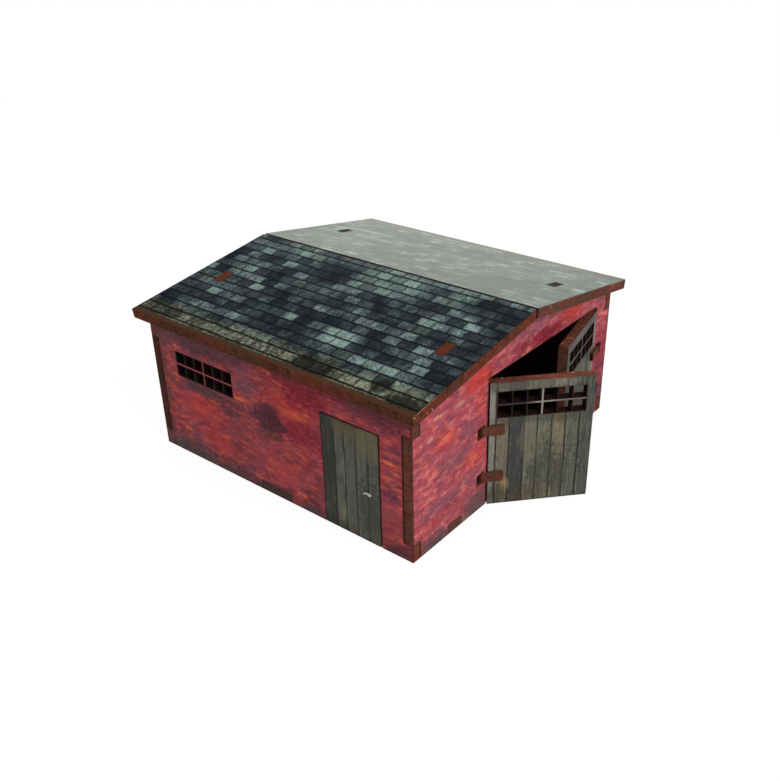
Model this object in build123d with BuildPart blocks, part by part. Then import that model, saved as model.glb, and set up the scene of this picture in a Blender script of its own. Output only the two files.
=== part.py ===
"""A brick shed for table-top figures, cut from flat board and slotted together.

Walls, floor, roof and doors are all laser-cut from one thickness of board. The walls are
finger-jointed, the floor's tabs show through them, and the lift-off roof is two panels held
by the tabs of two formers. The garage leaves hang on hooks that reach through slots in the
front gable and turn round the strip of board that is left beside the doorway.

Millimetres, +Z up. The origin is on the ground at the centre of the footprint. The front
gable faces -Y, and the wall with the side door and the window faces -X.
"""
import os
from math import cos, degrees, hypot, radians, sin, tan

from build123d import *

os.makedirs("parts", exist_ok=True)

# The whole building
board = 3.0                   # thickness of every board
building_width = 102.6        # outside of the walls, along X
building_length = 100.0       # outside of the walls, along Y
ridge_height = 55.2           # top of the roof at the ridge
roof_pitch = radians(9.0)
joint_gap = 0.1               # left all round a tab or a finger by the laser

# Finger joints at the four corners: the gables have the corner between these two heights
finger_bottom = 5.3
finger_top = 37.5

# Floor tabs
long_tab = 12.0               # in the middle of the side walls and of the rear gable
front_tab = 6.0
front_tab_from_left = 15.4    # from the outside of the left wall to the tab's near edge

# Roof
eave_overhang = 3.3
gable_overhang = 3.1
roof_seat_gap = 0.05          # between the walls and the roof that rests on them
ridge_gap = 0.1               # between the two panels along the ridge
former_inset = 2.9            # from a gable's inner face to the former beside it
former_play = 0.4             # between a former's end and the side wall
former_end_height = 3.6       # of a former at each of its ends
roof_tab_length = 5.6
roof_tab_distance = 27.8      # from the ridge to a tab's middle, down the slope

# Garage doorway and its two leaves
doorway_width = 60.4
doorway_below_eaves = 3.7     # from the top of the side walls down to the doorway's head
doorway_from_right = 8.8      # from the outside of the right wall
leaf_meeting_gap = 0.3
leaf_head_gap = 1.1
leaf_ground_gap = 0.3
left_leaf_angle = 43.0        # degrees open
right_leaf_angle = 12.0

# Hook hinges of the garage leaves
hinge_heights = {"upper": 25.0, "lower": 9.95}    # middle of each hook plate
hinge_strip = 1.6             # board left between the slot and the doorway
pivot_depth = 1.1             # of the turning axis behind the wall's outer face
hook_plate = 2.6              # the thinner board of the hooks
hook_width = 1.1              # of the round part that reaches through the slot
hook_play = 0.1               # between the hook and the strip's corners
leaf_play = 0.14              # between the leaf's edge and the strip's near corners
slot_play = 0.74              # beside the hook, on the slot's far side
slot_height_play = 0.4        # above the hook plate, and below it
arm_length = 4.1              # of the part of the hook plate that is let into the leaf
arm_proud = 1.1               # how far the arm stands out of the leaf

# Side door, a leaf that stands loose in its opening
side_door_width = 20.1        # of the opening
side_door_height = 35.0
side_door_from_front = 10.6   # from the outside of the front gable
side_door_rear_gap = 0.15
side_door_front_gap = 0.4
side_door_head_gap = 0.3
side_door_corner = 0.5
handle_height = 15.2
handle_from_edge = 2.8        # from the leaf's front edge to the handle's boss
handle_length = 2.8           # from the boss to the lever's tip
handle_rise = 0.5             # of the lever's bow
handle_width = 0.55
handle_boss_radius = 0.5
handle_stand_off = 0.3        # between the leaf and the lever
handle_thickness = 0.45

# Windows of two rows of six panes
window_width = 24.2
window_height = 7.8
window_sill = 27.4
window_from_rear = 10.5       # from the outside of the rear gable
leaf_window_width = 24.9
leaf_window_height = 7.9
leaf_window_below_top = 2.8   # from the leaf's top edge down to its window
window_post = 0.65            # the upright between the two groups of three panes
window_rail = 0.5             # the bar between the two rows
window_bar = 0.35             # the thin uprights between neighbouring panes
panes_per_group = 3

# Places worked out from the sizes above
half_width = building_width / 2
half_length = building_length / 2
inner_half_width = half_width - board
inner_half_length = half_length - board
eaves_height = ridge_height - board / cos(roof_pitch) - half_width * tan(roof_pitch)
doorway_height = eaves_height - roof_seat_gap - doorway_below_eaves
doorway_centre = half_width - doorway_from_right - doorway_width / 2
side_door_centre = -half_length + side_door_from_front + side_door_width / 2
window_centre = half_length - window_from_rear - window_width / 2
front_tab_centre = -half_width + front_tab_from_left + front_tab / 2
hook_inner_radius = hypot(hinge_strip / 2, board - pivot_depth) + hook_play
hook_outer_radius = hook_inner_radius + hook_width
hook_front = pivot_depth + arm_proud
hook_bar = hook_front - hypot(hinge_strip / 2, pivot_depth) - hook_play
slot_width = hook_outer_radius - hinge_strip / 2 + slot_play
slot_height = hook_plate + 2 * slot_height_play
pivot_from_centre = (doorway_width + hinge_strip) / 2
pivot_y = -half_length + pivot_depth
leaf_edge = hypot(hinge_strip / 2, pivot_depth) + leaf_play
leaf_width = pivot_from_centre - leaf_edge - leaf_meeting_gap / 2
leaf_height = doorway_height - leaf_head_gap - leaf_ground_gap
leaf_window_sill = leaf_ground_gap + leaf_height - leaf_window_below_top - leaf_window_height


def underside(x):
    """Height of the roof's underside over a point x from the ridge."""
    return ridge_height - board / cos(roof_pitch) - abs(x) * tan(roof_pitch)


def pane_centres(width, height):
    """Centres of the panes of a window, from the window's own centre."""
    pane_width, pane_height = pane_size(width, height)
    centres = []
    for side in (-1, 1):
        for number in range(panes_per_group):
            across = window_post / 2 + pane_width / 2 + number * (pane_width + window_bar)
            for row in (-1, 1):
                centres.append((side * across, row * (window_rail + pane_height) / 2))
    return centres


def pane_size(width, height):
    """Width and height of one pane of a window."""
    group = (width - window_post) / 2
    pane_width = (group - (panes_per_group - 1) * window_bar) / panes_per_group
    return pane_width, (height - window_rail) / 2


def gable_face():
    """A gable's face, drawn with x across the building and y up."""
    wall_top = underside(half_width) - roof_seat_gap
    with BuildSketch() as face:
        with BuildLine():
            Polyline(
                (-half_width, 0),
                (half_width, 0),
                (half_width, wall_top),
                (0, underside(0) - roof_seat_gap),
                (-half_width, wall_top),
                close=True,
            )
        make_face()
        corner = board + joint_gap
        for side in (-1, 1):
            x = side * (half_width - corner / 2)
            with Locations((x, finger_bottom / 2)):
                Rectangle(corner, finger_bottom, mode=Mode.SUBTRACT)
            with Locations((x, finger_top)):
                Rectangle(corner, wall_top, align=(Align.CENTER, Align.MIN), mode=Mode.SUBTRACT)
    return face.sketch


def side_wall_face():
    """A side wall's face, drawn with x along the building and y up."""
    wall_top = underside(half_width) - roof_seat_gap
    finger_height = finger_top - finger_bottom + 2 * joint_gap
    with BuildSketch() as face:
        Rectangle(building_length, wall_top, align=(Align.CENTER, Align.MIN))
        corner = board + joint_gap
        for end in (-1, 1):
            with Locations((end * (half_length - corner / 2), finger_bottom - joint_gap)):
                Rectangle(corner, finger_height, align=(Align.CENTER, Align.MIN), mode=Mode.SUBTRACT)
        with Locations((0, 0)):
            tab_notch(long_tab)
    return face.sketch


def tab_notch(tab_length):
    """The notch for a floor tab, cut from the sketch in hand at its place on the ground line."""
    notch_length = tab_length + 2 * joint_gap
    Rectangle(notch_length, board + joint_gap, align=(Align.CENTER, Align.MIN), mode=Mode.SUBTRACT)


# Floor, whose tabs lie in notches at the foot of the walls

with BuildPart() as floor_plate:
    with BuildSketch():
        Rectangle(2 * (inner_half_width - joint_gap), 2 * (inner_half_length - joint_gap))
        Rectangle(building_width, long_tab)
        with Locations((0, half_length)):
            Rectangle(long_tab, half_length, align=(Align.CENTER, Align.MAX))
        with Locations((front_tab_centre, -half_length)):
            Rectangle(front_tab, half_length, align=(Align.CENTER, Align.MIN))
    extrude(amount=board)

floor_plate.part.label = "floor_plate"
export_step(floor_plate.part, "parts/floor_plate.step")

# Rear gable

with BuildPart() as rear_wall:
    with BuildSketch(Plane.XZ.offset(-half_length)):
        add(gable_face())
        tab_notch(long_tab)
    extrude(amount=board)

rear_wall.part.label = "rear_wall"
export_step(rear_wall.part, "parts/rear_wall.step")

# Front gable, with the garage doorway and the four hinge slots beside it

with BuildPart() as front_wall:
    with BuildSketch(Plane.XZ.offset(inner_half_length)):
        add(gable_face())
        with Locations((front_tab_centre, 0)):
            tab_notch(front_tab)
        with Locations((doorway_centre, 0)):
            Rectangle(doorway_width, doorway_height, align=(Align.CENTER, Align.MIN), mode=Mode.SUBTRACT)
        slot_from_centre = doorway_width / 2 + hinge_strip + slot_width / 2
        for side in (-1, 1):
            for height in hinge_heights.values():
                with Locations((doorway_centre + side * slot_from_centre, height)):
                    Rectangle(slot_width, slot_height, mode=Mode.SUBTRACT)
    extrude(amount=board)

front_wall.part.label = "front_wall"
export_step(front_wall.part, "parts/front_wall.step")

# Right wall, plain

with BuildPart() as right_wall:
    with BuildSketch(Plane.YZ.offset(inner_half_width)):
        add(side_wall_face())
    extrude(amount=board)

right_wall.part.label = "right_wall"
export_step(right_wall.part, "parts/right_wall.step")

# Left wall, with the side door's opening and the window cut in the board

with BuildPart() as left_wall:
    with BuildSketch(Plane.YZ.offset(-half_width)):
        add(side_wall_face())
        with Locations((side_door_centre, 0)):
            Rectangle(side_door_width, side_door_height, align=(Align.CENTER, Align.MIN), mode=Mode.SUBTRACT)
        with Locations((window_centre, window_sill + window_height / 2)):
            with Locations(*pane_centres(window_width, window_height)):
                Rectangle(*pane_size(window_width, window_height), mode=Mode.SUBTRACT)
    extrude(amount=board)

left_wall.part.label = "left_wall"
export_step(left_wall.part, "parts/left_wall.step")

# Side door, flush with the wall and standing on the ground

side_leaf_width = side_door_width - side_door_rear_gap - side_door_front_gap
side_leaf_height = side_door_height - side_door_head_gap
side_leaf_front = side_door_centre - side_door_width / 2 + side_door_front_gap

with BuildPart() as side_door:
    with BuildSketch(Plane.YZ.offset(-half_width)):
        with Locations((side_leaf_front, 0)):
            Rectangle(side_leaf_width, side_leaf_height, align=(Align.MIN, Align.MIN))
    extrude(amount=board)
    top_corners = side_door.edges().filter_by(Axis.X).group_by(Axis.Z)[-1]
    fillet(top_corners, radius=side_door_corner)

side_door.part.label = "side_door"
export_step(side_door.part, "parts/side_door.step")

# Handle of the side door: a bowed lever on a round boss

handle_y = side_leaf_front + handle_from_edge

with BuildPart() as side_door_handle:
    with BuildSketch(Plane.YZ.offset(-half_width)):
        with Locations((handle_y, handle_height)):
            Circle(handle_boss_radius)
    extrude(amount=-(handle_stand_off + handle_thickness))
    with BuildSketch(Plane.YZ.offset(-half_width - handle_stand_off)):
        with BuildLine() as lever:
            SagittaArc(
                (handle_y, handle_height),
                (handle_y + handle_length, handle_height),
                handle_rise,
            )
        SlotArc(lever.edge(), handle_width)
    extrude(amount=-handle_thickness)

side_door_handle.part.label = "side_door_handle"
export_step(side_door_handle.part, "parts/side_door_handle.step")

# Garage leaves and their hooks, each drawn on planes through its own turning axis: x runs
# towards the meeting edge on the left leaf and away from it on the right one


def leaf_plane(side, angle):
    """Upright plane through a leaf's turning axis, facing outwards, at the leaf's angle."""
    turn = radians(angle)
    return Plane(
        origin=(doorway_centre - side * pivot_from_centre, pivot_y, 0),
        x_dir=(cos(turn), -side * sin(turn), 0),
        z_dir=(-side * sin(turn), -cos(turn), 0),
    )


def hook_plane(side, angle, height):
    """Level plane at a hook plate's underside, with y pointing into the building."""
    turn = radians(angle)
    return Plane(
        origin=(doorway_centre - side * pivot_from_centre, pivot_y, height - hook_plate / 2),
        x_dir=(cos(turn), -side * sin(turn), 0),
        z_dir=(0, 0, 1),
    )


for name, side, angle in (("left", 1, left_leaf_angle), ("right", -1, right_leaf_angle)):
    leaf_middle = side * (leaf_edge + leaf_width / 2)
    inward = board - pivot_depth
    bar_end = (hook_outer_radius**2 - hook_front**2) ** 0.5
    bar_length = bar_end + leaf_edge + arm_length
    bar_middle = bar_length / 2 - bar_end

    with BuildPart() as leaf:
        with BuildSketch(leaf_plane(side, angle).offset(-inward)):
            with Locations((leaf_middle, leaf_ground_gap + leaf_height / 2)):
                Rectangle(leaf_width, leaf_height)
            with Locations((leaf_middle, leaf_window_sill + leaf_window_height / 2)):
                with Locations(*pane_centres(leaf_window_width, leaf_window_height)):
                    Rectangle(*pane_size(leaf_window_width, leaf_window_height), mode=Mode.SUBTRACT)
            for height in hinge_heights.values():
                with Locations((side * (leaf_edge + arm_length / 2), height)):
                    Rectangle(arm_length, hook_plate, mode=Mode.SUBTRACT)
        extrude(amount=board)

    leaf.part.label = f"garage_door_{name}"
    export_step(leaf.part, f"parts/garage_door_{name}.step")

    for place, height in hinge_heights.items():
        with BuildPart() as hook:
            with BuildSketch(hook_plane(side, angle, height)):
                Circle(hook_outer_radius)
                Circle(hook_inner_radius, mode=Mode.SUBTRACT)
                with Locations((side * hook_outer_radius, 0)):
                    Rectangle(2 * hook_outer_radius, 2 * hook_outer_radius, mode=Mode.SUBTRACT)
                with Locations((0, hook_bar - hook_front)):
                    Rectangle(
                        2 * hook_outer_radius,
                        hook_outer_radius,
                        align=(Align.CENTER, Align.MAX),
                        mode=Mode.SUBTRACT,
                    )
                with Locations((side * bar_middle, -hook_front)):
                    Rectangle(bar_length, hook_bar, align=(Align.CENTER, Align.MIN))
                with Locations((side * (leaf_edge + arm_length / 2), -hook_front)):
                    Rectangle(arm_length, board + arm_proud, align=(Align.CENTER, Align.MIN))
            extrude(amount=hook_plate)

        hook.part.label = f"hinge_hook_{name}_{place}"
        export_step(hook.part, f"parts/hinge_hook_{name}_{place}.step")

# Roof panels, square-cut at every edge, so a thin groove opens along the top of the ridge

panel_length = (half_width + eave_overhang - board * sin(roof_pitch)) / cos(roof_pitch)
panel_width = building_length + 2 * gable_overhang
former_y = inner_half_length - former_inset - board / 2

for name, side in (("left", -1), ("right", 1)):
    slope = Plane(
        origin=(0, 0, underside(0)),
        x_dir=(side * cos(roof_pitch), 0, -sin(roof_pitch)),
        z_dir=(side * sin(roof_pitch), 0, cos(roof_pitch)),
    )
    with BuildPart() as panel:
        with BuildSketch(slope):
            with Locations((ridge_gap / 2, 0)):
                Rectangle(panel_length - ridge_gap / 2, panel_width, align=(Align.MIN, Align.CENTER))
            with Locations((roof_tab_distance, -former_y), (roof_tab_distance, former_y)):
                Rectangle(roof_tab_length + 2 * joint_gap, board + 2 * joint_gap, mode=Mode.SUBTRACT)
        extrude(amount=board)

    panel.part.label = f"roof_panel_{name}"
    export_step(panel.part, f"parts/roof_panel_{name}.step")

# Formers under the roof, whose tabs come up flush through the panels

former_half = inner_half_width - former_play
former_bottom = underside(former_half) - former_end_height

for name, middle in (("front", -former_y), ("rear", former_y)):
    with BuildPart() as former:
        with BuildSketch(Plane.XZ.offset(-middle - board / 2)):
            with BuildLine():
                Polyline(
                    (-former_half, former_bottom),
                    (former_half, former_bottom),
                    (former_half, underside(former_half)),
                    (0, underside(0)),
                    (-former_half, underside(former_half)),
                    close=True,
                )
            make_face()
            for side in (-1, 1):
                tab_x = roof_tab_distance * cos(roof_pitch)
                with Locations(Location((side * tab_x, underside(tab_x)), -side * degrees(roof_pitch))):
                    Rectangle(roof_tab_length, 2 * board)
        extrude(amount=board)

    former.part.label = f"roof_former_{name}"
    export_step(former.part, f"parts/roof_former_{name}.step")
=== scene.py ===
"""Looks of the brick shed: printed and laser-cut board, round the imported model."""
from math import cos, pi, radians, sin

import bmesh
import bpy
from mathutils import Matrix, Vector


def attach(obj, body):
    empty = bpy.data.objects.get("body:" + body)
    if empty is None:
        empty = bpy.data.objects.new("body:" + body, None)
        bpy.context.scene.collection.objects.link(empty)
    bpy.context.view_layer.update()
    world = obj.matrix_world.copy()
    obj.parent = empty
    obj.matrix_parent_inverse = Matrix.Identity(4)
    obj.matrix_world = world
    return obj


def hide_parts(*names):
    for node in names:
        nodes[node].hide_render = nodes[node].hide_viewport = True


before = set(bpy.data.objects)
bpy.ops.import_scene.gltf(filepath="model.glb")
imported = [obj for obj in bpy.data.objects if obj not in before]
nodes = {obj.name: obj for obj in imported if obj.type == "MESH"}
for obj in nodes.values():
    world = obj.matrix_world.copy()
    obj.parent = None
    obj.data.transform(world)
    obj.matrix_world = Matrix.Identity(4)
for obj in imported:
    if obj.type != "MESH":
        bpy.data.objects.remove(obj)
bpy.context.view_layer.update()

# The shed's sizes are in millimetres, and MM makes them metres
MM = 0.001
HALF_WIDTH = 51.3              # from the ridge to the outside of a side wall
HALF_LENGTH = 50.0
ROOF_PITCH = radians(9.0)
RIDGE_HEIGHT = 55.2
SIDE_DOOR_EDGE = -19.45        # the side door's rear edge
LEFT_PIVOT = (-18.7, -48.9)    # turning axes of the garage leaves
RIGHT_PIVOT = (43.3, -48.9)
LEFT_ANGLE = radians(43.0)
RIGHT_ANGLE = radians(12.0)


# Camera, in metres, where the walls and the roof have the photograph's outline

PHOTO_WIDTH, PHOTO_HEIGHT = 780, 781
SENSOR = 36.0


def place_camera():
    """A camera that looks down on the corner between the front gable and the side door's wall."""
    azimuth, elevation, roll = radians(-52.21), radians(27.37), radians(-0.37)
    focal_pixels, distance = 890.7, 0.32775
    middle_x, middle_y = 423.6, 372.7
    target = Vector((0.03585, 0.01383, 0.0))
    back = Vector((sin(azimuth) * cos(elevation), -cos(azimuth) * cos(elevation), sin(elevation)))
    right = Vector((cos(azimuth), sin(azimuth), 0.0))
    up = back.cross(right)
    right, up = right * cos(roll) + up * sin(roll), up * cos(roll) - right * sin(roll)
    data = bpy.data.cameras.new("camera")
    data.sensor_width = SENSOR
    data.lens = focal_pixels * SENSOR / PHOTO_HEIGHT
    data.shift_x = (PHOTO_WIDTH / 2 - middle_x) / PHOTO_HEIGHT
    data.shift_y = (middle_y - PHOTO_HEIGHT / 2) / PHOTO_HEIGHT
    data.clip_start, data.clip_end = 0.01, 20.0
    camera = bpy.data.objects.new("camera", data)
    turn = Matrix((right, up, back)).transposed().to_4x4()
    camera.matrix_world = Matrix.Translation(target + back * distance) @ turn
    bpy.context.scene.collection.objects.link(camera)
    bpy.context.scene.camera = camera


place_camera()


# Node graphs written as arithmetic


def ink(red, green, blue):
    """A printed colour, given as it looks on a screen, as linear values."""
    levels = []
    for level in (red, green, blue):
        share = level / 255
        levels.append(share / 12.92 if share < 0.04045 else ((share + 0.055) / 1.055) ** 2.4)
    return (*levels, 1.0)


class Wire:
    """The output of a node, with arithmetic that adds Math nodes."""

    def __init__(self, graph, socket):
        self.graph = graph
        self.socket = socket

    def __add__(self, other):
        return self.graph.maths("ADD", self, other)

    def __sub__(self, other):
        return self.graph.maths("SUBTRACT", self, other)

    def __rsub__(self, other):
        return self.graph.maths("SUBTRACT", other, self)

    def __mul__(self, other):
        return self.graph.maths("MULTIPLY", self, other)

    __radd__ = __add__
    __rmul__ = __mul__


class Graph:
    """A node tree whose nodes are made one by one."""

    def __init__(self, tree):
        self.tree = tree
        self.tree.nodes.clear()

    def node(self, kind, settings=None, values=None, result=0):
        """Makes a node, its settings first, fills its sockets and returns one of its outputs."""
        made = self.tree.nodes.new(kind)
        for name, value in (settings or {}).items():
            if name == "stops":
                ramp = made.color_ramp.elements
                while len(ramp) < len(value):
                    ramp.new(1.0)
                for stop, (position, colour) in zip(ramp, value):
                    stop.position, stop.color = position, colour
            else:
                setattr(made, name, value)
        for key, value in (values or {}).items():
            if isinstance(value, Wire):
                self.tree.links.new(value.socket, made.inputs[key])
            else:
                made.inputs[key].default_value = value
        return Wire(self, made.outputs[result]) if len(made.outputs) else None

    def maths(self, operation, *values):
        """A Math node on one, two or three values."""
        return self.node("ShaderNodeMath", {"operation": operation}, dict(enumerate(values)))


class Finish(Graph):
    """A material on the object's own coordinates, in millimetres."""

    def __init__(self, name):
        self.material = bpy.data.materials.new(name)
        self.material.use_nodes = True
        super().__init__(self.material.node_tree)
        metres = self.node("ShaderNodeTexCoord", result="Object")
        values = {0: metres, "Scale": 1 / MM}
        self.place = self.node("ShaderNodeVectorMath", {"operation": "SCALE"}, values)
        self.x, self.y, self.z = (
            self.node("ShaderNodeSeparateXYZ", {}, {0: self.place}, axis) for axis in "XYZ"
        )
        self.normal = self.node("ShaderNodeTexCoord", result="Normal")

    def vector(self, x, y, z=0.0):
        """Three numbers as a vector."""
        return self.node("ShaderNodeCombineXYZ", {}, {0: x, 1: y, 2: z})

    def noise(self, vector, scale, detail=2.0, roughness=0.5, bend=0.0):
        """Soft noise round 0.5."""
        values = {"Vector": vector, "Scale": scale, "Detail": detail}
        values.update({"Roughness": roughness, "Distortion": bend})
        return self.node("ShaderNodeTexNoise", {}, values)

    def chance(self, *place):
        """A random number from 0 to 1, another for every place."""
        return self.node("ShaderNodeTexWhiteNoise", {}, {"Vector": self.vector(*place)})

    def band(self, value, start, stop):
        """Rises smoothly from 0 at start to 1 at stop, whichever is larger."""
        values = {"Value": value, "From Min": start, "From Max": stop}
        if start > stop:
            values.update({"From Min": stop, "From Max": start, "To Min": 1.0, "To Max": 0.0})
        return self.node("ShaderNodeMapRange", {"interpolation_type": "SMOOTHSTEP"}, values)

    def either(self, *shares):
        """The largest of several shares."""
        largest = shares[0]
        for share in shares[1:]:
            largest = self.maths("MAXIMUM", largest, share)
        return largest

    def gap(self, value):
        """How far a number is from the nearest whole one."""
        part = self.maths("FRACT", value)
        return self.maths("MINIMUM", part, 1 - part)

    def lay(self, share, below, above):
        """Lays one colour over another."""
        return self.node("ShaderNodeMix", {"data_type": "RGBA"}, {0: share, 6: below, 7: above}, 2)

    def ramp(self, value, *stops):
        """A colour from a row of colours."""
        return self.node("ShaderNodeValToRGB", {"stops": stops}, {"Fac": value})

    def shade(self, colour, brightness):
        """The same colour, brighter or darker."""
        return self.node("ShaderNodeHueSaturation", {}, {"Color": colour, "Value": brightness})

    def facing(self, direction):
        """1 where the surface faces a direction, and 0 elsewhere."""
        values = {0: self.normal, 1: direction}
        share = self.node("ShaderNodeVectorMath", {"operation": "DOT_PRODUCT"}, values, "Value")
        return self.band(share, 0.6, 0.8)

    def patch(self, across, up, middle, reach, wobble, softness=0.8):
        """A soft oval patch with an uneven outline."""
        sideways = (across - middle[0]) * (1 / reach[0])
        upwards = (up - middle[1]) * (1 / reach[1])
        distance = self.maths("SQRT", sideways * sideways + upwards * upwards)
        return self.band(distance + wobble, 1 + softness / 2, 1 - softness / 2)

    def outside(self, across, up, opening):
        """Distance outside an opening given as left, right, bottom and top."""
        left, right, bottom, top = opening
        beside = self.maths("MAXIMUM", left - across, across - right)
        above = self.maths("MAXIMUM", bottom - up, up - top)
        return self.maths("MAXIMUM", beside, above)

    def scorch(self, across, up, openings, width):
        """The browned margin of a print round its openings."""
        marks = [self.band(self.outside(across, up, each), width, width * 0.3) for each in openings]
        return self.either(*marks)

    def close(self, colour, roughness, height, depth, **fixed):
        """The surface itself: colour, roughness and a bump of some millimetres' depth."""
        bump = self.node("ShaderNodeBump", {}, {"Height": height, "Distance": depth * MM})
        values = {"Base Color": colour, "Roughness": roughness, "Normal": bump}
        values.update({name.replace("_", " "): value for name, value in fixed.items()})
        surface = self.node("ShaderNodeBsdfPrincipled", {}, values)
        self.node("ShaderNodeOutputMaterial", {}, {"Surface": surface})
        return self.material


# Bare board: a fine felted face, and edges charred by the laser

RAW_TAN = ink(100, 74, 56)
RAW_DARK = ink(66, 47, 36)
CHAR_RED = ink(114, 59, 45)
CHAR_BROWN = ink(90, 56, 43)
CHAR_OLIVE = ink(84, 68, 46)
CHAR_DARK = ink(46, 27, 22)
CHAR_BLACK = ink(20, 11, 11)
KERF = ink(38, 12, 14)         # burnt print beside a cut
RIM = ink(176, 146, 118)       # pale line along the top of an edge
FOXED = ink(90, 64, 56)        # the floor's tabs
FOXED_SHARE, TAB_SOOT_SHARE = 0.75, 0.5
LEFT_TAB_END = ink(86, 42, 29)   # the formers' tabs, where they come up through the roof
# the right slope's tab ends, greyed as painted glare
RIGHT_TAB_END_GLARE = ink(50, 50, 42)
TAB_END_HEIGHT = 49.0
PRINT_GLOSS = 0.1              # specular levels
BARE_GLOSS = 0.03


def raw_board(finish):
    """The felted face of the board: colour and height."""
    felt = finish.noise(finish.place, 5.0, 4.0, 0.7)
    cloud = finish.noise(finish.place, 0.12, 3.0)
    colour = finish.lay(finish.band(felt + cloud * 0.6, 0.45, 1.05), RAW_DARK, RAW_TAN)
    return colour, felt


def charred_edge(finish, through, rim=None):
    """The cut edge, with fine marks that run through the board, and a pale upper rim."""
    stretch = tuple(0.4 if axis else 5.0 for axis in through)
    values = {0: finish.place, 1: stretch}
    drawn = finish.node("ShaderNodeVectorMath", {"operation": "MULTIPLY"}, values)
    marks = finish.noise(drawn, 1.0, 3.0, 0.6)
    cloud = finish.noise(finish.place, 0.1, 4.0, 0.6)
    other_cloud = finish.noise(finish.place, 0.07, 3.0, 0.6, 1.0)
    colour = finish.lay(finish.band(cloud, 0.4, 0.6), CHAR_BROWN, CHAR_RED)
    colour = finish.lay(finish.band(other_cloud, 0.54, 0.68) * 0.6, colour, CHAR_OLIVE)
    colour = finish.lay(finish.band(marks, 0.52, 0.3) * 0.4, colour, CHAR_DARK)
    mottle = finish.noise(finish.place, 0.7, 4.0, 0.7, 0.6)
    colour = finish.shade(colour, (mottle - 0.5) * 2.2 + 1.0)
    if rim:
        pale_line = finish.band(cloud + marks * 0.3, 0.62, 0.74) * 0.7
        colour = finish.lay(rim * pale_line, colour, RIM)
    return colour, marks


# Roughness of the edges, how much smoother the print is and how far its height roughens it, the
# print's share of the bump, and the bump's depth
WALL_SURFACE = (0.85, 0.25, 0.1, 0.4, 0.06)
SLATE_SURFACE = (0.75, 0.33, 0.08, 0.3, 0.05)
PLANK_SURFACE = (0.75, 0.15, 0.1, 0.5, 0.08)


def printed_board(finish, outward, face, edge, surface, gloss=PRINT_GLOSS):
    """Closes a board's finish: its print outside, charred edges and a bare inner side.

    The face and the edge are each a colour and a height.
    """
    rough, smoother, grainy, relief, depth = surface
    front = finish.facing(outward)
    back = finish.facing(tuple(-part for part in outward))
    bare = raw_board(finish)[0]
    colour = finish.lay(front, finish.lay(back, edge[0], bare), face[0])
    roughness = rough - front * smoother + face[1] * grainy
    height = edge[1] * (1 - front) + face[1] * front * relief
    return finish.close(colour, roughness, height, depth, Specular_IOR_Level=gloss)


# Brickwork print

BRICK_COURSE = 1.08
BRICK_LENGTH = 3.7
GABLE_RUN, LONG_RUN = 1.2, 1.0   # how short the dashes are, on gables and long walls
EAVES_FADE = (39.4, 42.6)      # heights where the shade under the eaves sets in
REAR_SHADE_REACH = (40.0, 48.0)       # how far back the cut edges are darkened with painted shade
PATCH_SOFTNESS = 1.2
CALM_WOBBLE = 0.4
CALM = True                    # a patch with a calm outline
ROSE = ink(158, 72, 80)
SALMON = ink(170, 78, 78)
DUSTY_ROSE = ink(166, 78, 82)
CRIMSON = ink(130, 28, 46)
SCARLET = ink(190, 60, 52)
ORANGE = ink(226, 108, 66)
AMBER = ink(224, 118, 84)
CORAL = ink(228, 134, 112)
PLUM = ink(82, 40, 56)
SOOT = ink(54, 40, 44)
SOOT_GREY = ink(62, 60, 60)
PLUM_GREY = ink(74, 50, 56)
OXBLOOD = ink(72, 24, 34)
DUSK = ink(92, 66, 72)
ASH = ink(86, 70, 70)
CREAM = ink(222, 164, 136)
MAUVE = ink(118, 76, 88)
UMBER = ink(84, 50, 42)
EAVES_SHADE = ink(78, 44, 44)
MORTAR = ink(200, 142, 134)
BRICK_TONES = (
    (0.0, PLUM),
    (0.12, ink(112, 34, 54)),
    (0.35, ink(150, 58, 72)),
    (0.6, ink(176, 78, 82)),
    (0.8, ink(180, 66, 58)),
    (0.93, ink(202, 92, 74)),
    (1.0, ink(222, 116, 84)),
)
LONG_BASE = (ink(152, 68, 78), ink(154, 58, 58), ink(188, 82, 68), ink(86, 42, 58), ORANGE)
GABLE_BASE = (ink(174, 82, 94), ink(172, 74, 80), ink(206, 114, 110), ink(122, 68, 80), CORAL)


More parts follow.
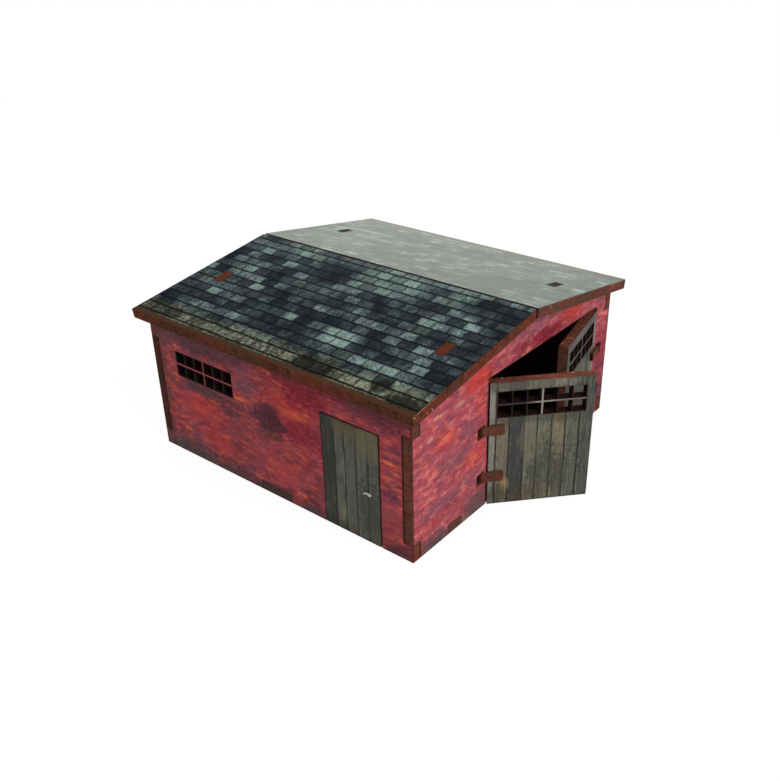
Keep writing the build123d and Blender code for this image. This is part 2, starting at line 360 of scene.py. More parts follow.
def brickwork(finish, across, up, base, patches, run):
    """Printed brick courses: colour and height.

    The base is two inks of the field, two of its flecks and one of its brightest bricks.
    A patch is an ink, its middle, its reach, its strength and, where its outline is calm, CALM.
    A run above 1 makes the dashes of the print shorter and softer.
    """
    plane = finish.vector(across * 0.75, up)
    away = finish.vector(across * 0.75 + 70.0, up + 31.0)
    warm = finish.noise(plane, 0.19, 5.0, 0.64, 0.4)
    cool = finish.noise(away, 0.16, 5.0, 0.64, 0.6)
    dashes = finish.noise(finish.vector(across * (0.62 * run), up * 1.8), 0.75, 5.0, 0.68)
    grit = finish.noise(finish.vector(across, up * 1.3), 2.6, 4.0, 0.7)
    wobble = (warm - 0.5) * 2.4 + (dashes - 0.5) * 2.6
    colour = finish.lay(finish.band(warm, 0.44, 0.6), base[0], base[1])
    colour = finish.lay(finish.band(cool, 0.53, 0.68) * 0.7, colour, CRIMSON)
    colour = finish.lay(finish.band(cool, 0.46, 0.32) * 0.45, colour, MAUVE)
    row = finish.maths("FLOOR", up * (1 / BRICK_COURSE))
    slip = finish.maths("FRACT", row * 0.5) + finish.chance(row, 3.0) * 0.35
    column = across * (1 / BRICK_LENGTH) + slip
    place = finish.maths("FLOOR", column)
    luck = finish.chance(place, row)
    clear = finish.band(dashes, 0.35, 0.6)
    colour = finish.lay(clear * 0.34, colour, finish.ramp(luck, *BRICK_TONES))
    fleck = finish.noise(finish.vector(across * (0.36 * run) + 9.0, up), 0.58, 4.0, 0.6, 0.3)
    fleck = fleck + (warm - 0.5) * 0.3
    colour = finish.lay(finish.band(fleck, 0.53, 0.61) * 0.64, colour, base[2])
    colour = finish.lay(finish.band(fleck, 0.47, 0.4) * 0.55, colour, base[3])
    colour = finish.lay(finish.band(luck * 0.5 + warm, 1.0, 1.1) * 0.5, colour, base[4])
    for tone, middle, reach, strength, *calm in patches:
        edge = wobble * CALM_WOBBLE if calm else wobble
        share = finish.patch(across, up, middle, reach, edge, PATCH_SOFTNESS)
        colour = finish.lay(share * strength, colour, tone)
    brightness = (finish.chance(place, row, 5.0) - 0.5) * (clear * 0.4 + 0.06)
    brightness = brightness + (dashes - 0.5) * (1.5 / run) + (grit - 0.5) * 0.9 + 1.0
    colour = finish.shade(colour, brightness)
    bed = finish.gap(up * (1 / BRICK_COURSE)) * BRICK_COURSE
    head = finish.gap(column) * BRICK_LENGTH
    joint = finish.band(finish.maths("MINIMUM", bed, head), 0.2, 0.06) * clear
    high = finish.band(finish.maths("FRACT", up * (1 / BRICK_COURSE)), 0.4, 0.6)
    colour = finish.lay(joint * (1 - high) * 0.36, colour, PLUM)
    colour = finish.lay(joint * high * 0.14, colour, MORTAR)
    colour = finish.lay(finish.band(grit, 0.38, 0.28) * 0.5, colour, PLUM)
    colour = finish.lay(finish.band(grit, 0.64, 0.76) * 0.4, colour, MORTAR)
    return colour, grit + dashes * 0.5


def wall_finish(name, along, outward, base, patches, cuts, window=None):
    """A wall's board: bricks on the outer face, bare inside, charred at the cuts."""
    finish = Finish(name)
    gable = along == "x"
    up = finish.z
    if gable:
        across, through, half, front, run = finish.x, finish.y, HALF_WIDTH, HALF_LENGTH, GABLE_RUN
    else:
        across, through, half, front, run = finish.y, finish.x, HALF_LENGTH, HALF_WIDTH, LONG_RUN
    print_colour, print_height = brickwork(finish, across, up, base, patches, run)
    if not gable:
        print_colour = finish.lay(finish.band(up, *EAVES_FADE) * 0.8, print_colour, EAVES_SHADE)
    foot = finish.band(up, 0.4, 0.05)
    sides = finish.band(finish.maths("ABSOLUTE", across), half - 0.6, half - 0.1)
    scorched = finish.either(foot, sides, finish.scorch(across, up, cuts, 0.3))
    print_colour = finish.lay(scorched * 0.9, print_colour, KERF)
    edge_colour, edge_height = charred_edge(finish, (not gable, gable, False))
    inner = finish.band(finish.maths("ABSOLUTE", through), front - 2.5, front - 2.85)
    edge_colour = finish.lay(inner * 0.8, edge_colour, KERF)
    # painted shade: the cut edges darken towards the rear
    shade_and_soot = finish.band(finish.y, *REAR_SHADE_REACH) * 0.55
    edge_colour = finish.lay(shade_and_soot, edge_colour, CHAR_BLACK)
    if window:
        print_colour, edge_colour = glazing(
            finish, across, up, window, print_colour, edge_colour, ROSE, WALL_POST
        )
    face, edge = (print_colour, print_height), (edge_colour, edge_height)
    return printed_board(finish, outward, face, edge, WALL_SURFACE)


# the thin bars' dark is their char, with painted shade
THIN_BARS = ink(36, 22, 22)
WALL_POST = (0.26, 0.78)       # half the width and the strength of a window's post
LEAF_POST = (0.36, 1.0)
HALF_RAIL = 0.3


def glazing(finish, across, up, window, print_colour, edge_colour, bar_colour, post):
    """The window cut in a board: bright post and rail, thin bars dark with char and painted shade,
    and reveals blackened as painted shade.
    """
    beyond = finish.outside(across, up, window)
    inside = finish.band(beyond, 0.05, 0.0)
    half_post, strength = post
    from_post = finish.maths("ABSOLUTE", across - (window[0] + window[1]) / 2)
    from_rail = finish.maths("ABSOLUTE", up - (window[2] + window[3]) / 2)
    post_share = finish.band(from_post, half_post, half_post - 0.1) * strength
    rail_share = finish.band(from_rail, HALF_RAIL, HALF_RAIL - 0.1)
    grain = finish.noise(finish.place, 1.5, 3.0, 0.6)
    bright = finish.shade(bar_colour, grain + 0.5)
    bars = finish.lay(finish.either(post_share, rail_share), THIN_BARS, bright)
    # painted shade: the reveals inside the window go black
    reveal_shade = finish.band(beyond, 0.4, 0.2)
    return finish.lay(inside, print_colour, bars), finish.lay(reveal_shade * 0.92, edge_colour, CHAR_BLACK)


# Patches and cuts of the walls. A cut is its left, right, bottom and top.

BEYOND, BELOW = 60.0, -1.0     # past a wall's end and below its foot
WALL_NOTCHES = ((46.9, BEYOND, 5.2, 37.6), (-BEYOND, -46.9, 5.2, 37.6))
GABLE_NOTCHES = (
    (-BEYOND, -48.2, BELOW, 5.3),
    (48.2, BEYOND, BELOW, 5.3),
    (-BEYOND, -48.2, 37.5, BEYOND),
    (48.2, BEYOND, 37.5, BEYOND),
)
FLOOR_TAB_CUT = (-6.1, 6.1, BELOW, 3.1)
LEFT_WINDOW = (15.3, 39.5, 27.4, 35.2)
LEFT_PATCHES = (
    # the first three patches, along the top under the eaves, are painted shade
    (MAUVE, (36.0, 41.0), (22.0, 4.6), 0.6),
    (PLUM_GREY, (26.0, 39.4), (17.0, 2.6), 0.75, CALM),
    (PLUM, (-36.0, 40.5), (14.0, 2.0), 0.6),
    # painted shade in a strip down the rear end of the wall
    (UMBER, (48.0, 20.0), (3.4, 30.0), 0.7),
    (SCARLET, (29.0, 19.5), (9.0, 4.6), 0.5),
    (SCARLET, (22.0, 9.5), (7.0, 3.4), 0.6),
    (SCARLET, (-7.5, 32.0), (8.0, 4.6), 0.7),
    (ORANGE, (-9.0, 30.0), (4.5, 1.2), 0.5),
    (SCARLET, (-3.0, 9.5), (4.5, 3.4), 0.6),
    (CRIMSON, (-11.0, 25.0), (7.5, 4.0), 0.8),
    (CRIMSON, (-14.0, 36.6), (7.5, 3.6), 0.9),
    (CRIMSON, (-12.0, 40.5), (14.0, 2.0), 0.7),
    (PLUM, (1.5, 25.0), (6.0, 4.6), 0.95),
    (OXBLOOD, (-0.5, 25.0), (4.2, 3.2), 0.75),
    (UMBER, (-0.5, 20.6), (4.0, 1.8), 0.6),
    (PLUM, (19.0, 22.8), (4.6, 2.0), 0.7),
    (PLUM_GREY, (27.6, 25.6), (12.6, 2.0), 0.9, CALM),
    (PLUM, (27.0, 38.5), (8.0, 1.6), 0.45),
    (SOOT_GREY, (38.0, 0.2), (14.0, 6.0), 0.9, CALM),
    (SOOT_GREY, (16.0, -0.8), (14.0, 4.2), 0.8),
    (SOOT_GREY, (-14.5, 0.4), (5.4, 3.2), 0.9, CALM),
    (PLUM_GREY, (14.0, 13.0), (6.5, 13.0), 0.32, CALM),
    (PLUM, (-16.5, 5.0), (4.0, 4.0), 0.5),
    (SOOT, (-45.0, 1.4), (5.0, 2.4), 0.8),
    (PLUM, (2.0, 1.0), (9.0, 2.6), 0.6),
    (MAUVE, (9.0, 33.5), (5.0, 4.0), 0.6),
    (SALMON, (0.0, 9.5), (10.0, 3.6), 0.4),
    (DUSTY_ROSE, (-43.6, 12.0), (3.6, 7.0), 0.4),
    (PLUM, (-43.5, 39.4), (6.0, 3.0), 0.6),
    (MAUVE, (-44.0, 22.0), (2.4, 2.0), 0.5),
    (PLUM, (-43.5, 18.2), (2.6, 1.6), 0.7),
    (ORANGE, (12.6, 28.1), (2.1, 0.5), 0.9),
    (ORANGE, (-42.5, 27.9), (2.1, 0.5), 0.9),
)
LEFT_CUTS = (
    LEFT_WINDOW,
    (-39.4, -19.3, BELOW, 35.0),
    (-5.95, 5.95, BELOW, 2.95),
    *WALL_NOTCHES,
)
FRONT_PATCHES = (
    (SCARLET, (-22.5, 42.0), (6.0, 3.0), 0.85),
    (SCARLET, (-37.0, 31.3), (4.4, 2.4), 0.6),
    (AMBER, (-37.6, 31.3), (2.2, 1.0), 0.7),
    (SCARLET, (-24.5, 20.0), (4.2, 3.6), 0.6),
    (AMBER, (-25.0, 19.6), (1.8, 1.4), 0.5),
    (SCARLET, (-21.6, 32.5), (2.4, 7.0), 0.5),
    # a dark strip beside the doorway's left jamb: painted shadow next to the open leaf
    (OXBLOOD, (-17.9, 33.0), (1.0, 9.0), 0.6, CALM),
    (CREAM, (-44.2, 34.3), (1.5, 0.7), 0.5),
    (CREAM, (-41.0, 39.0), (1.8, 0.5), 0.55),
    (CREAM, (-31.5, 38.5), (1.9, 0.6), 0.45),
    (MAUVE, (-33.0, 22.5), (8.0, 2.6), 0.55),
    (MAUVE, (-26.0, 29.0), (5.0, 4.0), 0.45),
    (MAUVE, (-38.0, 12.0), (8.0, 2.2), 0.5),
    (MAUVE, (-27.0, 13.0), (6.0, 2.0), 0.4),
    (SCARLET, (-41.0, 7.6), (7.0, 1.2), 0.35),
    (CRIMSON, (12.0, 42.8), (14.0, 2.2), 0.95),
    (MAUVE, (8.0, 47.8), (11.0, 2.2), 0.55),
    (SCARLET, (26.0, 44.4), (5.0, 2.4), 0.8),
    (CRIMSON, (48.0, 22.0), (5.0, 8.0), 0.75),
    (PLUM, (48.5, 9.0), (5.0, 9.0), 0.8),
    (ASH, (-42.0, 1.0), (6.0, 3.2), 0.9, CALM),
    (ASH, (-23.0, 1.5), (6.6, 5.2), 0.9, CALM),
    (SOOT_GREY, (-37.5, 0.4), (4.0, 1.6), 0.6),
)
FRONT_CUTS = (
    (-17.9, 42.5, BELOW, 40.3),
    (-22.7, -19.5, 23.3, 26.7),
    (-22.7, -19.5, 8.25, 11.65),
    (44.1, 47.3, 23.3, 26.7),
    (44.1, 47.3, 8.25, 11.65),
    (-35.9, -30.0, BELOW, 2.9),
    *GABLE_NOTCHES,
)
RIGHT_PATCHES = (
    (SCARLET, (24.0, 14.0), (11.0, 5.0), 0.6),
    (SCARLET, (-12.0, 30.0), (8.0, 3.6), 0.7),
    (ORANGE, (-10.0, 31.0), (3.6, 1.2), 0.5),
    (CRIMSON, (6.0, 37.0), (13.0, 3.6), 0.85),
    (PLUM, (-26.0, 22.0), (6.4, 4.5), 0.9),
    (MAUVE, (30.0, 36.0), (14.0, 4.0), 0.55),
    (PLUM, (-4.0, 11.0), (6.0, 2.2), 0.6),
    (SOOT, (-32.0, 0.4), (15.0, 4.4), 0.9),
    (SOOT, (34.0, 0.0), (11.0, 3.4), 0.85),
    # painted shade in a strip down the rear end of the wall
    (UMBER, (48.0, 20.0), (3.4, 30.0), 0.6),
)
REAR_PATCHES = (
    (SCARLET, (-30.0, 26.0), (9.0, 5.0), 0.6),
    (ORANGE, (-31.0, 25.0), (3.0, 1.4), 0.6),
    (SCARLET, (14.0, 12.0), (10.0, 4.0), 0.6),
    (CRIMSON, (-6.0, 46.0), (18.0, 3.0), 0.8),
    (MAUVE, (22.0, 38.0), (12.0, 4.0), 0.5),
    (PLUM, (34.0, 18.0), (7.0, 3.6), 0.8),
    (PLUM, (-14.0, 9.0), (5.0, 3.0), 0.7),
    (DUSK, (-38.0, 1.0), (9.0, 4.0), 0.85),
    (SOOT, (20.0, 0.4), (12.0, 3.2), 0.85),
    (CREAM, (4.0, 33.0), (2.0, 0.7), 0.5),
)
RIGHT_CUTS = (FLOOR_TAB_CUT, *WALL_NOTCHES)
REAR_CUTS = (FLOOR_TAB_CUT, *GABLE_NOTCHES)


# Slate print

SLATE_COURSE = 3.84
FIRST_COURSE = 2.85            # from the ridge to the first course line
SLATE_WIDTH = 5.3
SLATE_NIGHT = ink(20, 27, 36)
SLATE_LINE = ink(11, 15, 16)
SLATE_PALE = ink(124, 145, 140)
SLATE_TONES = (
    (0.0, SLATE_NIGHT),
    (0.22, ink(37, 45, 51)),
    (0.5, ink(58, 68, 71)),
    (0.78, ink(82, 95, 95)),
    (1.0, SLATE_PALE),
)
# painted glare: the grey-green wash laid over a slope's slates
SLATE_GLARE = ink(62, 73, 66)
SLATE_VIOLET = ink(52, 50, 62)
SLATE_GREEN = ink(72, 92, 78)
MOSS = ink(128, 131, 110)
MOSS_DARK = ink(26, 25, 21)
MARGIN = ink(88, 60, 34)
LEFT_SLOPE_PATCHES = (
    (SLATE_PALE, (-9.0, 6.5), (12.0, 5.6), 0.7),
    (SLATE_PALE, (-4.0, 3.0), (22.0, 3.0), 0.35),
    (SLATE_PALE, (38.0, 5.5), (12.0, 3.0), 0.3),
    (SLATE_PALE, (6.0, 20.5), (3.6, 2.6), 0.5),
    (SLATE_NIGHT, (13.0, 9.0), (9.0, 7.0), 0.85),
    (SLATE_NIGHT, (2.0, 20.0), (4.0, 6.0), 0.5),
    (SLATE_NIGHT, (-38.0, 7.0), (10.0, 4.0), 0.6),
    (SLATE_NIGHT, (24.0, 31.5), (7.0, 2.4), 0.8),
    (SLATE_NIGHT, (-13.0, 20.0), (5.0, 3.4), 0.6),
    (SLATE_NIGHT, (-24.0, 35.0), (5.0, 3.0), 0.7),
    (SLATE_NIGHT, (46.0, 38.0), (6.0, 5.0), 0.5),
    (SLATE_NIGHT, (-51.0, 20.0), (3.0, 26.0), 0.75),
    (SLATE_PALE, (-36.0, 43.0), (7.0, 2.2), 0.55),
    (SLATE_PALE, (22.0, 43.0), (5.0, 2.0), 0.4),
    (SLATE_GREEN, (-46.0, 46.5), (5.0, 2.4), 0.6),
)
RIGHT_SLOPE_PATCHES = (
    (SLATE_PALE, (-24.0, 30.0), (13.0, 6.0), 0.35),
    (SLATE_PALE, (34.0, 16.0), (12.0, 5.0), 0.35),
    (SLATE_NIGHT, (6.0, 12.0), (10.0, 5.0), 0.6),
    (SLATE_NIGHT, (-30.0, 12.0), (7.0, 4.0), 0.5),
    (SLATE_NIGHT, (20.0, 38.0), (9.0, 4.0), 0.6),
)
EAVE_PATCHES = (
    (MOSS_DARK, (45.0, 50.5), (9.0, 4.0), 0.6),
    (MOSS_DARK, (-16.5, 51.0), (6.5, 4.6), 0.9),
    (MOSS_DARK, (-48.5, 52.4), (6.0, 3.4), 0.9),
    (MOSS_DARK, (-38.5, 49.4), (3.0, 2.6), 0.8),
)
ROOF_SLOTS = ((41.0, 44.2, 24.9, 30.7), (-44.2, -41.0, 24.9, 30.7))
EAVE_MOSS, EAVE_MARGIN = (45.8, 50.5), (53.3, 54.0)   # where each sets in down the slope
VERGE_SCORCH = (52.4, 53.0)
# each slope's share of painted glare, and its gloss
LEFT_GLARE, LEFT_SLOPE_GLOSS = 0.0, 0.01
RIGHT_GLARE, RIGHT_SLOPE_GLOSS = 0.2, 0.12


def slates(finish, side, patches, eave_patches):
    """Printed courses of slates on one slope: colour and height."""
    down = finish.x * (side / cos(ROOF_PITCH))
    along = finish.y
    shift = 40.0 * side
    plane = finish.vector(along + shift, down)
    cloud = finish.noise(plane, 0.085, 4.0, 0.62, 0.3)
    slanted = finish.vector(along * 1.2 + down * 0.5, down * 1.5 + shift)
    grain = finish.noise(slanted, 1.0, 6.0, 0.75)
    bend = (finish.noise(plane, 0.5, 3.0) - 0.5) * 0.6
    course = (down + bend * 0.7 - FIRST_COURSE) * (1 / SLATE_COURSE)
    row = finish.maths("FLOOR", course)
    slip = finish.maths("FRACT", row * 0.5) + finish.chance(row, 5.0, side) * 0.3
    column = (along + bend) * (1 / SLATE_WIDTH) + slip
    slate = finish.maths("FLOOR", column)
    luck = finish.chance(slate, row, side)
    second = finish.chance(slate, row, side + 7.0)
    value = finish.band(luck * 0.42 + cloud * 1.2 + grain * 0.5, 0.7, 1.38)
    colour = finish.ramp(value, *SLATE_TONES)
    wobble = (finish.noise(plane, 0.2, 5.0, 0.65) - 0.5) * 2.4
    for tone, middle, reach, strength in patches:
        share = finish.patch(along, down, middle, reach, wobble, PATCH_SOFTNESS)
        colour = finish.lay(share * (luck * 0.6 + 0.5) * strength, colour, tone)
    # the right slope gets less violet, part of its painted glare, which greens it
    violet = 0.28 - side * 0.22
    colour = finish.lay(finish.band(second, 0.2, 0.0) * violet, colour, SLATE_VIOLET)
    colour = finish.lay(finish.band(second, 0.85, 1.0) * 0.3, colour, SLATE_GREEN)
    mossy = finish.band(down + wobble * 2.0 + luck * 1.5, *EAVE_MOSS)
    blotch = finish.noise(finish.vector(along + shift, down * 1.4), 0.7, 5.0, 0.72)
    moss = finish.lay(finish.band(blotch + luck * 0.12, 0.62, 0.5) * 0.75, MOSS, MOSS_DARK)
    colour = finish.lay(mossy * 0.9, colour, moss)
    for tone, middle, reach, strength in eave_patches:
        share = finish.patch(along, down, middle, reach, wobble)
        colour = finish.lay(share * strength, colour, tone)
    mottle = finish.noise(finish.vector(along - shift, down), 0.34, 4.0, 0.62, 0.8)
    rough = finish.band(down, 40.0, 47.0) * 1.2 + 1.9
    colour = finish.shade(colour, (grain - 0.5) * rough + (mottle - 0.5) * 1.5 + 0.97)
    line = finish.band(finish.gap(course) * SLATE_COURSE + (grain - 0.5) * 0.6, 0.46, 0.24)
    joint = finish.band(finish.gap(column) * SLATE_WIDTH, 0.26, 0.12)
    split = finish.band(finish.gap(column + 0.5) * SLATE_WIDTH, 0.2, 0.08)
    split = split * finish.band(second, 0.72, 0.74)
    cracks = finish.either(line * 0.95, joint * 0.75, split * 0.6)
    colour = finish.lay(cracks, colour, SLATE_LINE)
    butt = finish.band(finish.maths("FRACT", course), 0.3, 0.0)
    side_shade = finish.band(finish.gap(column) * SLATE_WIDTH + (mottle - 0.5) * 3.0, 1.1, 0.1)
    colour = finish.lay(finish.either(butt * 0.45, side_shade * 0.3), colour, SLATE_LINE)
    verge = finish.band(finish.maths("ABSOLUTE", along), *VERGE_SCORCH)
    scorched = finish.either(verge, finish.scorch(along, down, ROOF_SLOTS, 0.4))
    colour = finish.lay(scorched * 0.7, colour, CHAR_DARK)
    margin = finish.band(down + (blotch - 0.5) * 3.6, *EAVE_MARGIN)
    colour = finish.lay(margin, colour, finish.lay(blotch, MARGIN, CHAR_DARK))
    return colour, grain - cracks * 0.5


def roof_finish(name, side, patches, glare, gloss):
    """A roof panel: slates on top under an even wash of painted glare, bare below, charred at the
    cuts.
    """
    finish = Finish(name)
    print_colour, print_height = slates(finish, side, patches, EAVE_PATCHES)
    # painted glare, laid evenly over the slates
    print_colour = finish.lay(glare, print_colour, SLATE_GLARE)
    depth = (RIDGE_HEIGHT - finish.z) * cos(ROOF_PITCH) - finish.x * (side * sin(ROOF_PITCH))
    rim = finish.band(depth, 0.34, 0.16) * finish.band(finish.x * side, 40.0, 43.0)
    rim = rim * finish.band(finish.y, -52.7, -52.9)
    edge_colour, edge_height = charred_edge(finish, (False, False, True), rim)
    edge_colour = finish.shade(edge_colour, 0.82)
    ridge = finish.band(finish.x * side, 0.6, 0.4)
    edge_colour = finish.lay(ridge * 0.9, edge_colour, CHAR_BLACK)
    upward = (side * sin(ROOF_PITCH), 0.0, cos(ROOF_PITCH))
    face, edge = (print_colour, print_height), (edge_colour, edge_height)
    return printed_board(finish, upward, face, edge, SLATE_SURFACE, gloss)


# Plank print

PLANK_PALE = ink(134, 132, 120)
PLANK_TAN = ink(114, 109, 92)
PLANK_OLIVE = ink(102, 104, 88)
PLANK_GREY = ink(90, 92, 82)
PLANK_DUSK = ink(74, 76, 69)
PLANK_SLATE = ink(59, 61, 55)
PLANK_LINE = ink(30, 28, 22)
PLANK_OCHRE = ink(146, 128, 88)
PLANK_BROWN = ink(82, 58, 40)
PLANK_SAND = ink(108, 104, 89)
PLANK_BLUE = ink(62, 66, 68)
# inks of the painted shadow on the right leaf
SHADOW_BROWN = ink(50, 42, 36)
SHADOW_DARK = ink(46, 38, 34)
DOOR_OCHRE = ink(96, 84, 58)
DOOR_STRAW = ink(106, 98, 68)
BAR_PLUM = ink(58, 48, 56)
BAR_BROWN = ink(106, 92, 84)
BAR_DUSK = ink(78, 70, 64)
BAR_GREY = ink(106, 100, 90)
LEAF_GROOVE, DOOR_GROOVE = 0.42, 0.6   # half widths of the grooves between planks
HEADER_FADE = (36.0, 36.8)     # heights where the fine lines over a leaf's window set in
CRAZED_MIDDLE, CRAZED_REACH = (18.5, 14.0), (6.0, 9.0)
STAIN_SOFTNESS = 1.0
BAR_SPAN = 32.0                # the stops of the bars' tones are shares of this length
LEFT_BARS = ((0.36, BAR_PLUM), (0.47, PLANK_PALE), (0.57, PLANK_PALE), (0.72, BAR_BROWN))
RIGHT_BARS = ((0.1, BAR_DUSK), (0.9, BAR_GREY))
LEAF_PLANKS = (
    (-1.0, PLANK_PALE),
    (3.35, PLANK_TAN),
    (7.1, PLANK_SLATE),
    (11.4, PLANK_OLIVE),
    (15.1, PLANK_OLIVE),
    (19.2, PLANK_SAND),
    (23.1, PLANK_GREY),
    (27.1, PLANK_DUSK),
)
DOOR_PLANKS = (
    (0.0, PLANK_SLATE),
    (4.3, PLANK_GREY),
    (7.8, PLANK_GREY),
    (11.8, PLANK_GREY),
    (15.9, PLANK_GREY),
)


def planking(finish, across, up, planks, seed, gap):
    """Printed upright planks: colour, and the height of the grooves and grain."""
    sway = (finish.noise(finish.vector(across * 0.3 + seed, up), 0.1, 3.0) - 0.5) * 0.5
    line = across + sway
    number = 0.0
    colour = planks[0][1]
    groove, arris = 0.0, 0.0
    for start, tone in planks[1:]:
        step = finish.band(line, start - 0.04, start + 0.04)
        number = number + step
        colour = finish.lay(step, colour, tone)
        from_groove = finish.maths("ABSOLUTE", line - start)
        groove = finish.either(finish.band(from_groove, gap, 0.12), groove)
        from_arris = finish.maths("ABSOLUTE", line - start - 0.5)
        arris = finish.either(finish.band(from_arris, 0.4, 0.1), arris)
    shift = number * 7.3 + seed
    fine = finish.noise(finish.vector(across * 3.4, up * 0.19, shift), 1.0, 6.0, 0.76, 0.5)
    broad = finish.noise(finish.vector(across * 0.9, up * 0.16, shift), 1.0, 4.0, 0.65, 0.6)
    mottle = finish.noise(finish.vector(across, up * 0.7, shift), 0.9, 5.0, 0.7)
    colour = finish.lay(finish.band(broad, 0.5, 0.66) * 0.4, colour, PLANK_TAN)
    colour = finish.lay(finish.band(broad, 0.48, 0.32) * 0.5, colour, PLANK_SLATE)
    colour = finish.shade(colour, (fine - 0.5) * 2.2 + (mottle - 0.5) * 1.0 + 1.0)
    cracks = finish.noise(finish.vector(across * 2.2, up * 0.12, shift + 4.0), 1.0, 3.0, 0.6, 0.8)
    crack = finish.band(finish.maths("ABSOLUTE", cracks - 0.5), 0.02, 0.005)
    crack = crack * finish.band(mottle, 0.42, 0.55)
    bent = finish.vector(across + mottle * 2.4, up * 0.75 + fine * 1.6)
    settings, values = {"feature": "DISTANCE_TO_EDGE"}, {"Vector": bent, "Scale": 0.62}
    vein = finish.node("ShaderNodeTexVoronoi", settings, values, "Distance")
    crazed = finish.patch(across, up, CRAZED_MIDDLE, CRAZED_REACH, (mottle - 0.5) * 8.0)
    lines = finish.noise(finish.vector(across * 1.4, up * 0.1, shift + 9.0), 1.0, 2.0)
    lined = finish.band(up, *HEADER_FADE) * finish.band(lines, 0.5, 0.42)
    crack = finish.either(crack, finish.band(vein, 0.13, 0.03) * crazed * 0.8, lined * 0.8)
    colour = finish.lay(arris * 0.4 * finish.band(mottle, 0.4, 0.6), colour, PLANK_PALE)
    colour = finish.lay(finish.band(fine, 0.6, 0.72) * 0.35, colour, PLANK_PALE)
    colour = finish.lay(finish.either(crack * 0.62, groove * 0.85), colour, PLANK_LINE)
    return colour, fine * 0.6 - finish.either(crack, groove)


def plank_finish(name, origin, run, outward, planks, stains, cuts=(), window=None, bar_tones=()):
    """A door's board: planks outside, bare inside, charred at the cuts."""
    finish = Finish(name)
    across = (finish.x - origin[0]) * run[0] + (finish.y - origin[1]) * run[1]
    up = finish.z
    gap = LEAF_GROOVE if window else DOOR_GROOVE
    print_colour, print_height = planking(finish, across, up, planks, origin[0], gap)
    wobble = (finish.noise(finish.vector(across * 1.6, up * 0.35), 0.6, 5.0, 0.7) - 0.5) * 3.0
    for tone, middle, reach, strength in stains:
        share = finish.patch(across, up, middle, reach, wobble, STAIN_SOFTNESS)
        print_colour = finish.lay(share * strength, print_colour, tone)
    scorched = finish.band(up, 1.1, 0.3) * 0.6
    if cuts:
        scorched = finish.either(scorched, finish.scorch(across, up, cuts, 0.35))
    print_colour = finish.lay(scorched * 0.8, print_colour, CHAR_DARK)
    edge_colour, edge_height = charred_edge(finish, tuple(abs(part) > 0.6 for part in outward))
    if window:
        bars = finish.ramp(across * (1 / BAR_SPAN), *bar_tones)
        print_colour, edge_colour = glazing(
            finish, across, up, window, print_colour, edge_colour, bars, LEAF_POST
        )
    face, edge = (print_colour, print_height), (edge_colour, edge_height)
    return printed_board(finish, outward, face, edge, PLANK_SURFACE)


LEAF_WINDOW = (3.6, 28.5, 28.49, 36.39)
LEAF_CUTS = (LEAF_WINDOW, (1.5, 5.6, 23.7, 26.3), (1.5, 5.6, 8.65, 11.25))
LEAF_STAINS = (
    (PLANK_SLATE, (16.0, 27.6), (14.0, 1.3), 0.5),
    (PLANK_PALE, (15.0, 38.0), (12.0, 1.4), 0.3),
    (PLANK_BLUE, (9.1, 15.0), (1.5, 16.0), 0.6),
    (PLANK_SLATE, (17.5, 13.0), (3.0, 3.4), 0.5),
    (PLANK_SLATE, (21.6, 8.0), (2.6, 6.0), 0.6),
    (PLANK_DUSK, (8.0, 38.2), (5.5, 1.6), 0.7),
    (PLANK_SLATE, (15.0, 8.0), (2.6, 5.0), 0.45),
    (PLANK_TAN, (13.0, 20.0), (3.0, 6.0), 0.4),
    (PLANK_OCHRE, (6.1, 6.4), (1.0, 2.2), 0.85),
    (PLANK_OCHRE, (21.2, 23.0), (1.4, 5.0), 0.3),
    (PLANK_BROWN, (13.0, 3.0), (6.0, 2.2), 0.35),
    (PLANK_LINE, (4.0, 3.6), (3.0, 3.4), 0.6),
    (PLANK_BROWN, (22.0, 26.8), (2.0, 1.4), 0.5),
    (PLANK_BROWN, (6.0, 27.0), (2.0, 1.2), 0.4),
)
# painted shadow on the right leaf, where the left leaf and the doorway shade it
RIGHT_LEAF_SHADOW = (
    (PLANK_LINE, (20.0, 14.5), (13.5, 9.5), 0.78),
    (SHADOW_BROWN, (15.0, 37.6), (15.0, 2.4), 0.35),
    (SHADOW_DARK, (27.0, 22.0), (6.5, 5.5), 0.65),
)
DOOR_STAINS = (
    (DOOR_OCHRE, (8.0, 33.0), (4.0, 3.0), 0.75),
    (DOOR_STRAW, (15.8, 31.2), (4.6, 4.4), 0.7),
    (PLANK_BROWN, (9.0, 35.3), (6.0, 1.3), 0.75),
    (PLANK_OLIVE, (14.6, 27.0), (0.7, 7.0), 0.5),
    (PLANK_OLIVE, (6.2, 6.6), (1.3, 4.4), 0.7),
    (PLANK_OCHRE, (6.4, 5.0), (0.9, 2.4), 0.35),
    (PLANK_PALE, (7.5, 20.0), (0.25, 4.0), 0.5),
    (PLANK_OLIVE, (10.2, 4.0), (1.2, 3.0), 0.5),
    (PLANK_BROWN, (10.0, 2.2), (1.4, 1.4), 0.4),
    (PLANK_SLATE, (16.4, 9.0), (4.0, 8.0), 0.6),
    (PLANK_LINE, (2.0, 22.0), (2.6, 12.0), 0.3),
    (PLANK_LINE, (3.0, 1.0), (6.0, 2.0), 0.4),
)


